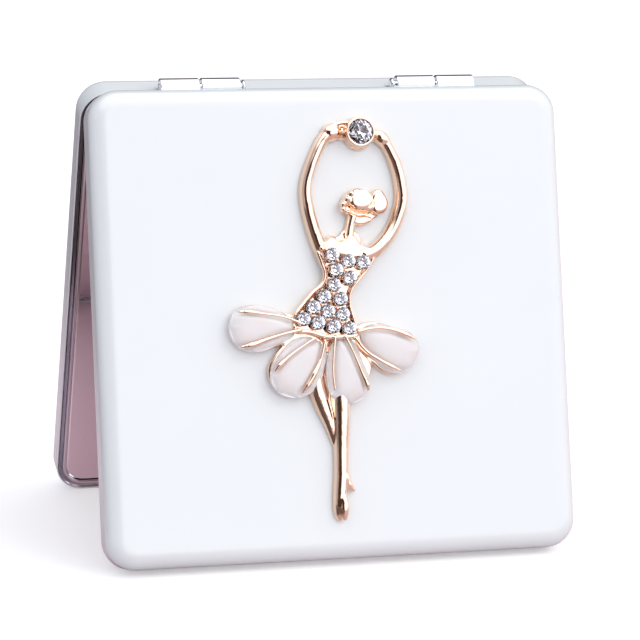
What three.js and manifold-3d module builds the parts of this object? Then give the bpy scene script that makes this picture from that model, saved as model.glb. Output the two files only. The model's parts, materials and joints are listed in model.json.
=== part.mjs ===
// A square pocket mirror that folds like a book, standing open as a tent on its two lower edges.
// A flat-backed cast ballerina with set stones and petals is glued to the front cover.
// Millimetres, +Z up, the ballerina faces -Y, the hinge axis runs along X.

import * as THREE from 'three';
import { mergeVertices } from 'three/addons/utils/BufferGeometryUtils.js';
import Module from 'manifold-3d';

// ---- driving dimensions -------------------------------------------------------------------------
const WIDTH = 65; // along the hinge
const HEIGHT = 63.5; // across the hinge, from the hinge edge to the free edge
const HALF_THICK = 5.5; // one half, from the parting plane to its outer face
const CORNER_RADIUS = 4;
const EDGE_ROUND = 1.4; // rounding of a cover's outer edge
const HALF_OPENING = THREE.MathUtils.degToRad(16.5); // each half leans out by this much at rest
const HINGE_OFFSET = 0.7; // hinge axis to the hinge edge of a half
const PARTING = 0.15; // each rim stays this far from the parting plane

const SKIRT_WALL = 0.7; // side wall of a cover
const PLATE_THICK = 1.3; // flat of a cover
const PIECE_GAP = 0.3; // between pieces that touch on the real case
const TRAY_WALL = 0.8; // bright rim round a mirror
const TRAY_FLOOR = 0.6;
const MIRROR_RECESS = 0.35;
const MIRROR_THICK = 1.2;
const PAD_THICK = 1.2;
const PAD_GAP = 0.2;
const MAGNET_RADIUS = 3;
const MAGNET_THICK = 1;
const MAGNET_X = 21;
const MAGNET_FROM_EDGE = 9;

const BARREL_RADIUS = 1.3;
const BORE_RADIUS = 0.6;
const PIN_RADIUS = 0.5;
const PIN_HEAD_RADIUS = 0.9;
const PIN_HEAD_LENGTH = 0.5;
const KNUCKLE_LENGTH = 5.35;
const HINGE_INNER_X = 11; // inner end of the inner knuckle
const KNUCKLE_GAP = 0.3;
const SWING_GAP = 0.3; // round a barrel that turns

const GLUE_LINE = 0.15; // casting's flat back to the cover
const CAST_PLATE = 1.35; // thickness of the bodice plate
const PETAL_BACK = 0.6; // thickness of the gold plate behind a petal
const PETAL_TOP = 2.5; // front of a petal above the cover
const RIB_TOP = 2.8;
const RIB_WIDTH = 0.4;
const RIB_CLEARANCE = 0.12;
const ARM_RADIUS = 0.95;
const NECK_RADIUS = 0.8;
const PETAL_ROUND = 0.6;
const HUB_TOP = 2;
const HUB_ROUND = 0.3;
const LEG_TOP = 2.1;
const LEG_ROUND = 0.4;
const CROSSED_LEG_RADIUS = 0.85;
const STONE_RADIUS = 1;
const STONE_HEIGHT = 0.85;
const HAND_STONE_RADIUS = 1.7;
const HAND_STONE_HEIGHT = 1.25;
const BEZEL_WALL = 0.4;
const BEZEL_HEIGHT = 2.1;
const HAND_SEAT = 1.2; // back of the hand stone above the cover
const STONE_GAP = 0.1;
const FAR = 40; // past the ornament on every side

const panelMiddle = -(HINGE_OFFSET + HEIGHT / 2);

// ---- solids -------------------------------------------------------------------------------------
const wasm = await Module();
wasm.setup();

function toSolid(geometry) {
  const bare = geometry.clone();
  bare.deleteAttribute('normal');
  bare.deleteAttribute('uv');
  const merged = mergeVertices(bare, 1e-4);
  return new wasm.Manifold(new wasm.Mesh({
    numProp: 3,
    vertProperties: new Float32Array(merged.attributes.position.array),
    triVerts: new Uint32Array(merged.index.array),
  }));
}

function toGeometry(solid) {
  const mesh = solid.getMesh();
  const geometry = new THREE.BufferGeometry();
  geometry.setAttribute('position', new THREE.BufferAttribute(new Float32Array(mesh.vertProperties), 3));
  geometry.setIndex(new THREE.BufferAttribute(new Uint32Array(mesh.triVerts), 1));
  geometry.computeVertexNormals();
  return geometry;
}

function join(geometries) {
  return geometries.map(toSolid).reduce((whole, next) => whole.add(next));
}

function cut(solid, geometries) {
  return geometries.map(toSolid).reduce((whole, next) => whole.subtract(next), solid);
}

// ---- finishes -----------------------------------------------------------------------------------
const finishes = {
  whiteLacquer: { color: 0xf1f3f7, roughness: 0.28, metalness: 0 },
  chrome: { color: 0xd2d4d8, roughness: 0.12, metalness: 1 },
  mirrorGlass: { color: 0xe8eaec, roughness: 0.02, metalness: 1 },
  foam: { color: 0x3c3c40, roughness: 0.95, metalness: 0 },
  magnet: { color: 0xa8a9ac, roughness: 0.35, metalness: 1 },
  roseGold: { color: 0xe6b48c, roughness: 0.16, metalness: 1 },
  clearStone: { color: 0xe9eaf0, roughness: 0.04, metalness: 0 },
  opalPetal: { color: 0xf3e9e8, roughness: 0.35, metalness: 0 },
};

function piece(name, geometry, finish) {
  const mesh = new THREE.Mesh(geometry, new THREE.MeshStandardMaterial(finishes[finish]));
  mesh.name = name;
  return mesh;
}

// ---- one half of the case -----------------------------------------------------------------------
// Its own frame: the hinge axis is the X axis, +Y is outwards, and the half hangs down along -Z.

function roundedSquare(inset, holes = []) {
  const x = WIDTH / 2 - inset;
  const z = HEIGHT / 2 - inset;
  const r = Math.max(CORNER_RADIUS - inset, 0.8);
  const shape = new THREE.Shape();
  shape.moveTo(x, z - r);
  shape.absarc(x - r, z - r, r, 0, Math.PI / 2);
  shape.absarc(-x + r, z - r, r, Math.PI / 2, Math.PI);
  shape.absarc(-x + r, -z + r, r, Math.PI, 1.5 * Math.PI);
  shape.absarc(x - r, -z + r, r, 1.5 * Math.PI, 2 * Math.PI);
  shape.holes = holes;
  return shape;
}

function slab(shape, from, to) {
  const geometry = new THREE.ExtrudeGeometry(shape, {
    depth: to - from,
    bevelEnabled: false,
    curveSegments: 4,
  });
  return geometry.rotateX(Math.PI / 2).translate(0, to, panelMiddle);
}

function box(low, high) {
  const size = high.map((value, axis) => value - low[axis]);
  const middle = high.map((value, axis) => (value + low[axis]) / 2);
  return new THREE.BoxGeometry(...size).translate(...middle);
}

function rodX(radius, from, to, sides = 24) {
  const geometry = new THREE.CylinderGeometry(radius, radius, to - from, sides);
  return geometry.rotateZ(Math.PI / 2).translate((from + to) / 2, 0, 0);
}

const innerKnuckle = [HINGE_INNER_X, HINGE_INNER_X + KNUCKLE_LENGTH];
const outerKnuckle = [innerKnuckle[1] + KNUCKLE_GAP, innerKnuckle[1] + KNUCKLE_GAP + KNUCKLE_LENGTH];
const bothSides = ([from, to]) => [[-to, -from], [from, to]];

function coverGeometry(knuckle) {
  const plate = HALF_THICK - EDGE_ROUND;
  const outside = new THREE.ExtrudeGeometry(roundedSquare(0), {
    depth: plate - PARTING,
    bevelSize: EDGE_ROUND,
    bevelOffset: -EDGE_ROUND,
    bevelThickness: EDGE_ROUND,
    bevelSegments: 3,
    curveSegments: 4,
  });
  outside.rotateX(Math.PI / 2).translate(0, plate, panelMiddle);

  const innerEdge = [box([-WIDTH, -EDGE_ROUND * 2, -2 * HEIGHT], [WIDTH, PARTING, HEIGHT])];
  const pocket = [slab(roundedSquare(SKIRT_WALL), -1, HALF_THICK - PLATE_THICK)];
  const barrelSpace = bothSides([HINGE_INNER_X - PIN_HEAD_LENGTH - 2 * KNUCKLE_GAP, outerKnuckle[1] + KNUCKLE_GAP])
    .map(([from, to]) => rodX(BARREL_RADIUS + SWING_GAP, from, to));
  const notches = bothSides(knuckle).map(([from, to]) => box(
    [from - PIECE_GAP, -1, -HINGE_OFFSET - SKIRT_WALL - 0.01],
    [to + PIECE_GAP, BARREL_RADIUS + SWING_GAP, 1],
  ));
  return toGeometry(cut(toSolid(outside), [...innerEdge, ...pocket, ...barrelSpace, ...notches]));
}

function trayGeometry(knuckle) {
  const outerInset = SKIRT_WALL + PIECE_GAP;
  const floorTop = HALF_THICK - PLATE_THICK - PIECE_GAP;
  const body = slab(roundedSquare(outerInset), PARTING, floorTop);
  const pocket = slab(roundedSquare(outerInset + TRAY_WALL), -1, floorTop - TRAY_FLOOR);
  const tray = cut(toSolid(body), [pocket]);
  const knuckles = bothSides(knuckle).flatMap(([from, to]) => [
    rodX(BARREL_RADIUS, from, to),
    box([from, PARTING, -HINGE_OFFSET - outerInset - TRAY_WALL / 2], [to, BARREL_RADIUS - 0.1, -0.2]),
  ]);
  const bores = bothSides(knuckle).map(([from, to]) => rodX(BORE_RADIUS, from - 1, to + 1));
  return toGeometry(cut(tray.add(join(knuckles)), bores));
}

function caseHalf(name, knuckle) {
  const half = new THREE.Group();
  half.add(piece(`${name}_cover`, coverGeometry(knuckle), 'whiteLacquer'));
  half.add(piece(`${name}_tray`, trayGeometry(knuckle), 'chrome'));

  const inset = SKIRT_WALL + TRAY_WALL + 2 * PIECE_GAP;
  const mirrorFront = PARTING + MIRROR_RECESS;
  const padFront = mirrorFront + MIRROR_THICK + PAD_GAP;
  half.add(piece(`${name}_mirror`, slab(roundedSquare(inset), mirrorFront, mirrorFront + MIRROR_THICK), 'mirrorGlass'));

  const magnetZ = -HEIGHT / 2 + MAGNET_FROM_EDGE;
  const pockets = [-MAGNET_X, MAGNET_X].map((x) => {
    const hole = new THREE.Path();
    hole.absarc(x, magnetZ, MAGNET_RADIUS + PIECE_GAP, 0, 2 * Math.PI);
    return hole;
  });
  half.add(piece(`${name}_backing_pad`, slab(roundedSquare(inset + 1, pockets), padFront, padFront + PAD_THICK), 'foam'));

  const magnetMiddle = padFront + PAD_THICK / 2;
  for (const [side, x] of [['left', -MAGNET_X], ['right', MAGNET_X]]) {
    const magnet = new THREE.CylinderGeometry(MAGNET_RADIUS, MAGNET_RADIUS, MAGNET_THICK, 24);
    const mesh = piece(`${name}_magnet_${side}`, magnet, 'magnet');
    mesh.position.set(x, magnetMiddle, panelMiddle + magnetZ);
    half.add(mesh);
  }
  return half;
}

function hingePin(name, side) {
  const start = HINGE_INNER_X - KNUCKLE_GAP - PIN_HEAD_LENGTH;
  const profile = [
    [0, 0],
    [PIN_HEAD_RADIUS, 0],
    [PIN_HEAD_RADIUS, PIN_HEAD_LENGTH],
    [PIN_RADIUS, PIN_HEAD_LENGTH],
    [PIN_RADIUS, outerKnuckle[1] - start],
    [0, outerKnuckle[1] - start],
  ];
  const points = profile.map(([radius, along]) => new THREE.Vector2(radius, along));
  const mesh = piece(name, new THREE.LatheGeometry(points, 20), 'chrome');
  mesh.position.x = side * start;
  mesh.rotation.z = -side * Math.PI / 2;
  return mesh;
}

// ---- the ballerina ------------------------------------------------------------------------------
// Its own frame: X to the right, Z up from the middle of the cover, and it stands out along -Y.

const at = (x, z) => new THREE.Vector2(x, z);

function outline(points) {
  const shape = new THREE.Shape();
  shape.moveTo(points[0].x, points[0].y);
  shape.splineThru([...points.slice(1), points[0]]);
  return shape;
}

function relief(shape, from, to, round = 0, perPoint = 2) {
  const geometry = new THREE.ExtrudeGeometry(shape, {
    depth: to - from - round,
    bevelEnabled: round > 0,
    bevelSize: round,
    bevelOffset: -round,
    bevelThickness: round,
    bevelSegments: 2,
    curveSegments: perPoint,
  });
  geometry.rotateX(Math.PI / 2).translate(0, -from, 0);
  return geometry;
}

function flatBacked(geometry) {
  const behind = box([-FAR, -GLUE_LINE, -FAR], [FAR, FAR, FAR]);
  return cut(toSolid(geometry), [behind]);
}

function limb(route, radius, height, steps = 12) {
  const path = new THREE.CatmullRomCurve3(route.map(([x, z]) => new THREE.Vector3(x, -height, z)));
  const section = new THREE.Shape();
  section.absarc(0, 0, radius, 0, 2 * Math.PI);
  return new THREE.ExtrudeGeometry(section, { steps, extrudePath: path, curveSegments: 5, bevelEnabled: false });
}

function ball(x, z, height, radiusX, radiusZ, radiusOut) {
  const geometry = new THREE.SphereGeometry(1, 12, 8);
  return geometry.scale(radiusX, radiusOut, radiusZ).translate(x, -height, z);
}

function wall(route, width, from, to) {
  const middle = new THREE.SplineCurve(route.map(([x, z]) => at(x, z))).getPoints(5);
  const sides = [-1, 1].map((side) => middle.map((point, index) => {
    const ahead = middle[Math.min(index + 1, middle.length - 1)];
    const behind = middle[Math.max(index - 1, 0)];
    const along = ahead.clone().sub(behind).normalize();
    return at(point.x - along.y * side * width / 2, point.y + along.x * side * width / 2);
  }));
  return relief(new THREE.Shape([...sides[0], ...sides[1].reverse()]), from, to);
}

const petals = {
  left: {
    edge: [[-6.5, 0.1], [-8.8, 1.8], [-11.4, 2.6], [-14.2, 2.1], [-15.4, -0.3], [-14.6, -2.6],
      [-12.4, -3.7], [-8.8, -2.8], [-6.4, -1.3]],
    ribs: [[[-6.2, -0.1], [-10.6, 1.2], [-14.0, 1.5]], [[-6.2, -1.0], [-10.8, -2.0], [-13.8, -2.8]]],
  },
  lower_left: {
    edge: [[-3.3, -2.5], [-5.6, -1.9], [-8.8, -4.2], [-10.1, -6.8], [-9.3, -9.0], [-6.6, -10.0],
      [-4.0, -8.8], [-2.7, -6.2], [-2.5, -3.4]],
    ribs: [[[-4.0, -2.2], [-7.4, -4.2], [-9.4, -6.3]], [[-3.1, -2.8], [-4.2, -6.4], [-6.0, -9.2]]],
  },
  lower_middle: {
    edge: [[-0.8, -2.4], [-2.1, -4.6], [-2.4, -7.6], [-1.7, -10.1], [0.5, -11.0], [2.8, -10.1],
      [3.5, -8.3], [2.7, -5.6], [0.9, -2.4]],
    ribs: [[[-0.5, -2.2], [-1.2, -5.2], [-1.4, -9.2]], [[0.6, -2.2], [2.5, -6.0], [2.9, -9.1]]],
  },
  right: {
    edge: [[2.7, -1.4], [4.4, -0.4], [7.2, -1.1], [10.0, -2.4], [10.6, -4.4], [9.3, -6.6],
      [6.7, -7.2], [4.3, -5.4], [2.7, -2.9]],
    ribs: [[[2.4, -1.6], [5.4, -1.4], [9.8, -2.9]], [[2.5, -2.5], [4.9, -4.7], [7.5, -6.2]]],
  },
};

const bodice = [[-2.9, 10.1], [-1.4, 10.2], [1.4, 9.4], [4.6, 8.9], [5.3, 8.4], [3.8, 6.9], [2.5, 5.7],
  [1.6, 4.4], [1.3, 2.6], [1.7, 0.6], [2.1, -1.5], [0.4, -2.2], [-2.6, -2.1], [-5.8, -1.3], [-6.5, 0.3],
  [-5.1, 2.2], [-3.7, 3.7], [-2.4, 5.2], [-2.1, 6.7], [-2.8, 8.4]];

const hub = [[-6.0, -1.2], [-2.4, -2.1], [2.0, -2.1], [3.9, -1.0], [4.9, -2.2], [3.4, -4.2], [-1.2, -4.4],
  [-4.6, -4.0], [-7.0, -2.4], [-7.2, -1.2]];

const standingLeg = [[-1.9, -8.0], [1.0, -8.0], [0.9, -12.6], [0.5, -16.4], [0.35, -20.3], [1.1, -22.5],
  [0.2, -23.6], [-0.1, -25.6], [-0.8, -26.8], [-1.9, -26.4], [-2.4, -24.8], [-2.0, -21.6], [-1.6, -18.0],
  [-1.8, -14.0]];

const crossedLeg = [[-4.1, -8.0], [-3.4, -10.8], [-2.4, -13.6], [-1.3, -16.4]];

const leftArm = [[-2.0, 10.0], [-3.0, 13.0], [-3.7, 15.6], [-3.9, 18.2], [-3.4, 20.4], [-2.3, 22.4], [-1.2, 24.5],
  [0.4, 25.4], [2.2, 25.3]];
const rightArm = [[4.3, 8.7], [5.8, 9.9], [7.6, 11.8], [8.8, 13.9], [9.35, 16.2], [9.2, 18.6], [8.6, 20.9],
  [7.7, 23.1], [6.3, 24.5], [5.0, 25.0]];

const neck = [[2.1, 13.8], [2.0, 12.2], [1.5, 9.1]];
const headParts = [ // x, z, height, then the radius along x, z and outwards
  [3.1, 15.5, 1.2, 2.35, 2.2, 1.7],
  [3.4, 14.2, 1.1, 1.9, 1.3, 1.4],
  [5.95, 15.9, 1.1, 1.25, 1.6, 1.2],
];

const handStone = [3.55, 25.2];
const bodiceStones = [
  [-1.05, 8.85], [1.15, 7.95], [3.2, 7.75],
  [-0.6, 6.85], [1.25, 5.75],
  [-1.0, 4.85],
  [-2.45, 3.35], [-0.15, 2.95],
  [-3.95, 1.95], [-1.95, 1.35], [0.05, 0.9],
  [-5.4, 0.45], [-3.4, -0.1], [-1.3, -0.65], [0.85, -1.0],
];

const points = (list) => list.map(([x, z]) => at(x, z));

function castingGeometry() {
  const bodicePlate = relief(outline(points(bodice)), GLUE_LINE, GLUE_LINE + CAST_PLATE);
  const hubPlate = relief(outline(points(hub)), GLUE_LINE, HUB_TOP, HUB_ROUND);
  const backs = Object.values(petals).map(({ edge }) => (
    relief(outline(points(edge)), GLUE_LINE, GLUE_LINE + PETAL_BACK)));
  const ribs = Object.values(petals).flatMap((petal) => petal.ribs).map((route) => (
    wall(route, RIB_WIDTH, GLUE_LINE + PETAL_BACK / 2, RIB_TOP)));
  const leg = relief(outline(points(standingLeg)), GLUE_LINE, LEG_TOP, LEG_ROUND);
  const bezel = new THREE.CylinderGeometry(
    HAND_STONE_RADIUS + BEZEL_WALL, HAND_STONE_RADIUS + BEZEL_WALL, BEZEL_HEIGHT - GLUE_LINE, 28);
  bezel.translate(handStone[0], -(BEZEL_HEIGHT + GLUE_LINE) / 2, handStone[1]);
  const seat = new THREE.CylinderGeometry(
    HAND_STONE_RADIUS + STONE_GAP, HAND_STONE_RADIUS + STONE_GAP, BEZEL_HEIGHT, 28);
  seat.translate(handStone[0], -BEZEL_HEIGHT / 2 - HAND_SEAT, handStone[1]);

  const rounded = [
    leg,
    hubPlate,
    limb(crossedLeg, CROSSED_LEG_RADIUS, CROSSED_LEG_RADIUS, 5),
    limb(leftArm, ARM_RADIUS, 1.05),
    limb(rightArm, ARM_RADIUS, 1.05),
    limb(neck, NECK_RADIUS, 1, 5),
    ...headParts.map((sizes) => ball(...sizes)),
  ].map(flatBacked);

  const casting = rounded.reduce((whole, next) => whole.add(next), join([bodicePlate, ...backs, ...ribs, bezel]));
  return toGeometry(cut(casting, [seat, ...petalSpaces()]));
}

// Room for each petal in front of its gold plate, with the ribs left standing in it.
function petalSpaces() {
  return Object.values(petals).map(({ edge, ribs }) => {
    const space = relief(outline(points(edge)), GLUE_LINE + PETAL_BACK, RIB_TOP + 2);
    const keep = ribs.map((route) => wall(route, RIB_WIDTH, 0, RIB_TOP + 4));
    return toGeometry(cut(toSolid(space), keep));
  });
}

function petalGeometry({ edge, ribs }) {
  const middle = points(edge).reduce((sum, point) => sum.add(point), at(0, 0)).divideScalar(edge.length);
  const inner = points(edge).map((point) => {
    const reach = point.clone().sub(middle);
    return middle.clone().add(reach.setLength(reach.length() - RIB_CLEARANCE));
  });
  const seat = GLUE_LINE + PETAL_BACK + STONE_GAP;
  const body = relief(outline(inner), seat, PETAL_TOP, PETAL_ROUND);
  const front = cut(toSolid(body), [box([-FAR, -seat, -FAR], [FAR, FAR, FAR])]);
  const slots = ribs.map((route) => wall(route, RIB_WIDTH + 2 * RIB_CLEARANCE, 0, RIB_TOP + 1));
  return toGeometry(cut(front, slots));
}

function stone(name, [x, z], back, radius, height, sides) {
  const profile = [[0, 0], [radius * 0.8, 0], [radius, height * 0.35], [radius * 0.6, height], [0, height]];
  const geometry = new THREE.LatheGeometry(profile.map(([r, h]) => at(r, h)), sides);
  const mesh = piece(name, geometry, 'clearStone');
  mesh.position.set(x, -back, z);
  mesh.rotation.x = Math.PI;
  return mesh;
}

function ballerina() {
  const figure = new THREE.Group();
  figure.add(piece('ballerina_casting', castingGeometry(), 'roseGold'));
  for (const [name, petal] of Object.entries(petals)) {
    figure.add(piece(`tutu_petal_${name}`, petalGeometry(petal), 'opalPetal'));
  }
  figure.add(stone('hand_crystal', handStone, HAND_SEAT + STONE_GAP, HAND_STONE_RADIUS, HAND_STONE_HEIGHT, 16));
  bodiceStones.forEach((place, index) => {
    const name = `bodice_crystal_${String(index + 1).padStart(2, '0')}`;
    figure.add(stone(name, place, GLUE_LINE + CAST_PLATE + STONE_GAP, STONE_RADIUS, STONE_HEIGHT, 10));
  });
  return figure;
}

// ---- the whole mirror ---------------------------------------------------------------------------
const mirror = new THREE.Group();

const rear = caseHalf('rear', innerKnuckle);
rear.rotation.x = HALF_OPENING;

const front = new THREE.Group();
front.rotation.x = -HALF_OPENING;
const frontHalf = caseHalf('front', outerKnuckle);
frontHalf.rotation.z = Math.PI;
const figure = ballerina();
figure.position.set(0, -HALF_THICK, panelMiddle);
front.add(frontHalf, figure, hingePin('hinge_pin_left', -1), hingePin('hinge_pin_right', 1));

mirror.add(front, rear);

// The origin lies on the table, under the middle of the standing mirror.
mirror.updateMatrixWorld(true);
const extent = new THREE.Box3().setFromObject(mirror, true);
const middle = extent.getCenter(new THREE.Vector3());
mirror.position.set(-middle.x, -middle.y, -extent.min.z);

export default mirror;
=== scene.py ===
"""Looks for a folding pocket mirror: white lacquered halves on bright hinges, with a cast ballerina."""

import itertools
import json
import math

import bmesh
import bpy
import numpy as np
from bpy.props import FloatProperty, FloatVectorProperty, PointerProperty
from mathutils import Matrix, Vector


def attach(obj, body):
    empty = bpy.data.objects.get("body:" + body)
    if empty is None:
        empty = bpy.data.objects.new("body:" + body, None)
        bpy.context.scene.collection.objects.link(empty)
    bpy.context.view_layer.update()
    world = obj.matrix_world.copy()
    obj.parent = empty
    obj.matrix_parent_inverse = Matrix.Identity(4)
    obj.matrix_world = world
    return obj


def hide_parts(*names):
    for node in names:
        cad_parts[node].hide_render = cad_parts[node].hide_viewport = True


bl_info = {
    "name": "Ballerina pocket mirror",
    "version": (1, 0, 0),
    "blender": (4, 5, 0),
    "location": "3D View > Sidebar > Pocket Mirror",
    "description": "Builds the finished surfaces of a folding pocket mirror around its frame",
    "category": "Object",
}

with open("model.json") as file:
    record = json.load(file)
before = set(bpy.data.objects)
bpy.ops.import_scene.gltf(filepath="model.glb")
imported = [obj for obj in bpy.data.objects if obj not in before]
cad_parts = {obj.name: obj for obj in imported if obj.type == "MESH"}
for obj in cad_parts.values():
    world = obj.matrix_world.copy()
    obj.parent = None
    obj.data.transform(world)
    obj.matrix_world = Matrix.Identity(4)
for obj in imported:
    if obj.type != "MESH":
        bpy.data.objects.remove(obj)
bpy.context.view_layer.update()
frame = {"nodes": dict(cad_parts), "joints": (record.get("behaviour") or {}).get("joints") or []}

# ---- where things are ---------------------------------------------------------------------------
# Pieces are drawn in millimetres, lying flat, and are then settled into their place in metres.

MM = 0.001
hinge_joint = frame["joints"][0]
hinge = Vector(hinge_joint["pos_m"])
lean = -math.radians(hinge_joint["range_deg"][0]) / 2

# A half hangs down along -Z from the hinge axis, which is the X axis, and its cover faces +Y.
REAR = Matrix.Translation(hinge) @ Matrix.Rotation(lean, 4, "X")
FRONT_TILT = Matrix.Translation(hinge) @ Matrix.Rotation(-lean, 4, "X")
FRONT = FRONT_TILT @ Matrix.Rotation(math.pi, 4, "Z")
HALVES = {"front": FRONT, "rear": REAR}


def own_box(node, place):
    """Lowest and highest corner of a CAD node in the frame that place sets upright, in millimetres."""
    upright = place.inverted()
    corners = [upright @ vertex.co / MM for vertex in frame["nodes"][node].data.vertices]
    return Vector(map(min, zip(*corners))), Vector(map(max, zip(*corners)))


cover_low, cover_high = own_box("rear_cover", REAR)
tray_high = own_box("rear_tray", REAR)[1]
mirror_low, mirror_high = own_box("rear_mirror", REAR)

# The figure lies on the front cover: X to the right, Y up from the cover's middle, Z out of the cover.
cover_middle = Vector((0, -cover_high.y, (cover_low.z + cover_high.z) / 2)) * MM
FIGURE = FRONT_TILT @ Matrix.Translation(cover_middle) @ Matrix.Rotation(math.pi / 2, 4, "X")
BACK = own_box("ballerina_casting", FIGURE)[0].z  # the casting's flat back


# ---- sizes and colours that a user would change -------------------------------------------------
class CaseSettings(bpy.types.PropertyGroup):
    """Sizes and colours of the two halves."""

    corner_radius: FloatProperty(
        name="Corner", description="Radius of the case's corners, in millimetres",
        default=4.0, min=2.0, max=8.0)
    edge_round: FloatProperty(
        name="Cover edge", description="Rounding of a cover's outer edge, in millimetres",
        default=2.4, min=0.5, max=2.8)
    wall: FloatProperty(
        name="Cover wall", description="Width of a cover's white rim, in millimetres",
        default=0.2, min=0.15, max=0.7)
    groove: FloatProperty(
        name="Groove", description="Depth of the groove between cover and bright rim, in millimetres",
        default=0.8, min=0.1, max=1.5)
    rim_round: FloatProperty(
        name="Rim rounding", description="Rounding of the bright rim, in millimetres",
        default=0.16, min=0.05, max=0.2)
    glass_bevel: FloatProperty(
        name="Glass bevel", description="Width of the ground edge of a mirror, in millimetres",
        default=0.3, min=0.1, max=3.0)
    lacquer: FloatVectorProperty(
        name="Lacquer", description="Colour of the covers", subtype="COLOR",
        default=(0.89, 0.915, 0.93), min=0, max=1)
    chrome: FloatVectorProperty(
        name="Bright plate", description="Colour of the rims and hinges", subtype="COLOR",
        default=(0.80, 0.81, 0.84), min=0, max=1)


class FigureSettings(bpy.types.PropertyGroup):
    """Sizes and colours of the ballerina."""

    detail: FloatProperty(
        name="Casting detail", description="Size of the smallest step in the casting, in millimetres",
        default=0.11, min=0.08, max=0.4)
    petal_detail: FloatProperty(
        name="Petal detail", description="Size of the smallest step in a petal, in millimetres",
        default=0.14, min=0.08, max=0.4)
    stone_radius: FloatProperty(
        name="Bodice stone", description="Radius of a bodice stone, in millimetres",
        default=1.0, min=0.5, max=1.02)
    crease: FloatProperty(
        name="Petal crease", description="Depth of the fold under a petal's rib, in millimetres",
        default=0.45, min=0.0, max=1.0)
    gold: FloatVectorProperty(
        name="Rose gold", description="Colour of the casting", subtype="COLOR",
        default=(0.95, 0.73, 0.58), min=0, max=1)
    petal: FloatVectorProperty(
        name="Petal", description="Colour of the petals", subtype="COLOR",
        default=(0.86, 0.83, 0.835), min=0, max=1)


class StageSettings(bpy.types.PropertyGroup):
    """Camera, table and light."""

    azimuth: FloatProperty(
        name="Azimuth", description="Where the camera stands round the mirror",
        default=math.radians(-15.19), subtype="ANGLE")
    elevation: FloatProperty(
        name="Elevation", description="How high the camera stands",
        default=math.radians(13.82), subtype="ANGLE")
    roll: FloatProperty(
        name="Roll", description="How far the camera is tipped to its side",
        default=math.radians(1.69), subtype="ANGLE")
    distance: FloatProperty(
        name="Distance", description="From the camera to the point that it looks at",
        default=0.3986, unit="LENGTH")
    aim: FloatVectorProperty(
        name="Aim", description="The point that the camera looks at", subtype="TRANSLATION",
        unit="LENGTH", default=(0.0013, 0.0004, 0.0286))
    lens: FloatProperty(name="Lens", description="Focal length in millimetres", default=161.4)
    table: FloatVectorProperty(
        name="Table", description="Colour of the table", subtype="COLOR",
        default=(0.97, 0.95, 0.96), min=0, max=1)
    # painted shade: the light that the table throws back is darker and pinker than the table's own colour
    table_glow: FloatVectorProperty(
        name="Table glow", description="Colour of the light that the table throws back", subtype="COLOR",
        default=(0.60, 0.53, 0.56), min=0, max=1)
    brightness: FloatProperty(
        name="Brightness", description="Strength of the room's soft light", default=0.78, min=0, max=3)
    sparkle: FloatProperty(
        name="Sparkle", description="Extra strength of the room in bright metal", default=0.6, min=0, max=3)
    key_power: FloatProperty(
        name="Key light", description="Power of the lamp at the upper right", default=0.6, unit="POWER")


# ---- small tools --------------------------------------------------------------------------------
LEVEL = 0.9999  # a face counts as square to an axis when its normal has this much along it
TOUCH = 0.01  # things closer than this, in millimetres, are in the same place


def focus(obj):
    """Makes obj the only selected object, and the active one."""
    bpy.ops.object.select_all(action="DESELECT")
    obj.select_set(True)
    bpy.context.view_layer.objects.active = obj


def edit(obj, kind):
    """Opens obj in edit mode with nothing selected, picking by kind: VERT, EDGE or FACE."""
    focus(obj)
    bpy.ops.object.mode_set(mode="EDIT")
    bpy.ops.mesh.select_mode(type=kind)
    bpy.ops.mesh.select_all(action="DESELECT")


def leave_edit():
    bpy.ops.object.mode_set(mode="OBJECT")


def pick_faces(obj, test):
    """Selects the faces whose middle and normal pass the test, and nothing else."""
    bpy.ops.mesh.select_mode(type="FACE")
    bpy.ops.mesh.select_all(action="DESELECT")
    mesh = bmesh.from_edit_mesh(obj.data)
    for face in mesh.faces:
        face.select_set(test(face.calc_center_median(), face.normal))
    bmesh.update_edit_mesh(obj.data)


def pick_edges(obj, test):
    """Selects the edges whose two ends pass the test, and nothing else."""
    bpy.ops.mesh.select_mode(type="EDGE")
    bpy.ops.mesh.select_all(action="DESELECT")
    mesh = bmesh.from_edit_mesh(obj.data)
    for edge in mesh.edges:
        edge.select_set(test(edge.verts[0].co, edge.verts[1].co))
    bmesh.update_edit_mesh(obj.data)


def pick_open_side(obj, below=math.inf):
    """Selects the flat faces towards the parting plane, as far as their middle lies below a height."""
    pick_faces(obj, lambda middle, normal: normal.y < -LEVEL and middle.y < below)


def extrude(y=0.0, z=0.0):
    bpy.ops.mesh.extrude_region_move(TRANSFORM_OT_translate={"value": (0, y, z)})


def bevel(width, segments):
    bpy.ops.mesh.bevel(offset=width, segments=segments, affect="EDGES")


def apply_modifier(obj, kind, **values):
    """Adds one modifier with these values and applies it."""
    focus(obj)
    modifier = obj.modifiers.new(kind.title(), kind)
    for key, value in values.items():
        setattr(modifier, key, value)
    bpy.ops.object.modifier_apply(modifier=modifier.name)


def combine(obj, others, operation):
    """Joins or cuts obj with each of the others, which are used up."""
    for other in others:
        apply_modifier(obj, "BOOLEAN", object=other, operation=operation, solver="EXACT")
        bpy.data.objects.remove(other)


def join(parts):
    """Makes one object of several."""
    focus(parts[0])
    for part in parts[1:]:
        part.select_set(True)
    bpy.ops.object.join()
    return bpy.context.object


def apply_transform():
    bpy.ops.object.transform_apply(location=True, rotation=True, scale=True)


def block(low, high):
    """A plain block between two corners."""
    low, high = Vector(low), Vector(high)
    bpy.ops.mesh.primitive_cube_add(size=1, location=(low + high) / 2, scale=high - low)
    apply_transform()
    return bpy.context.object


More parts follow.
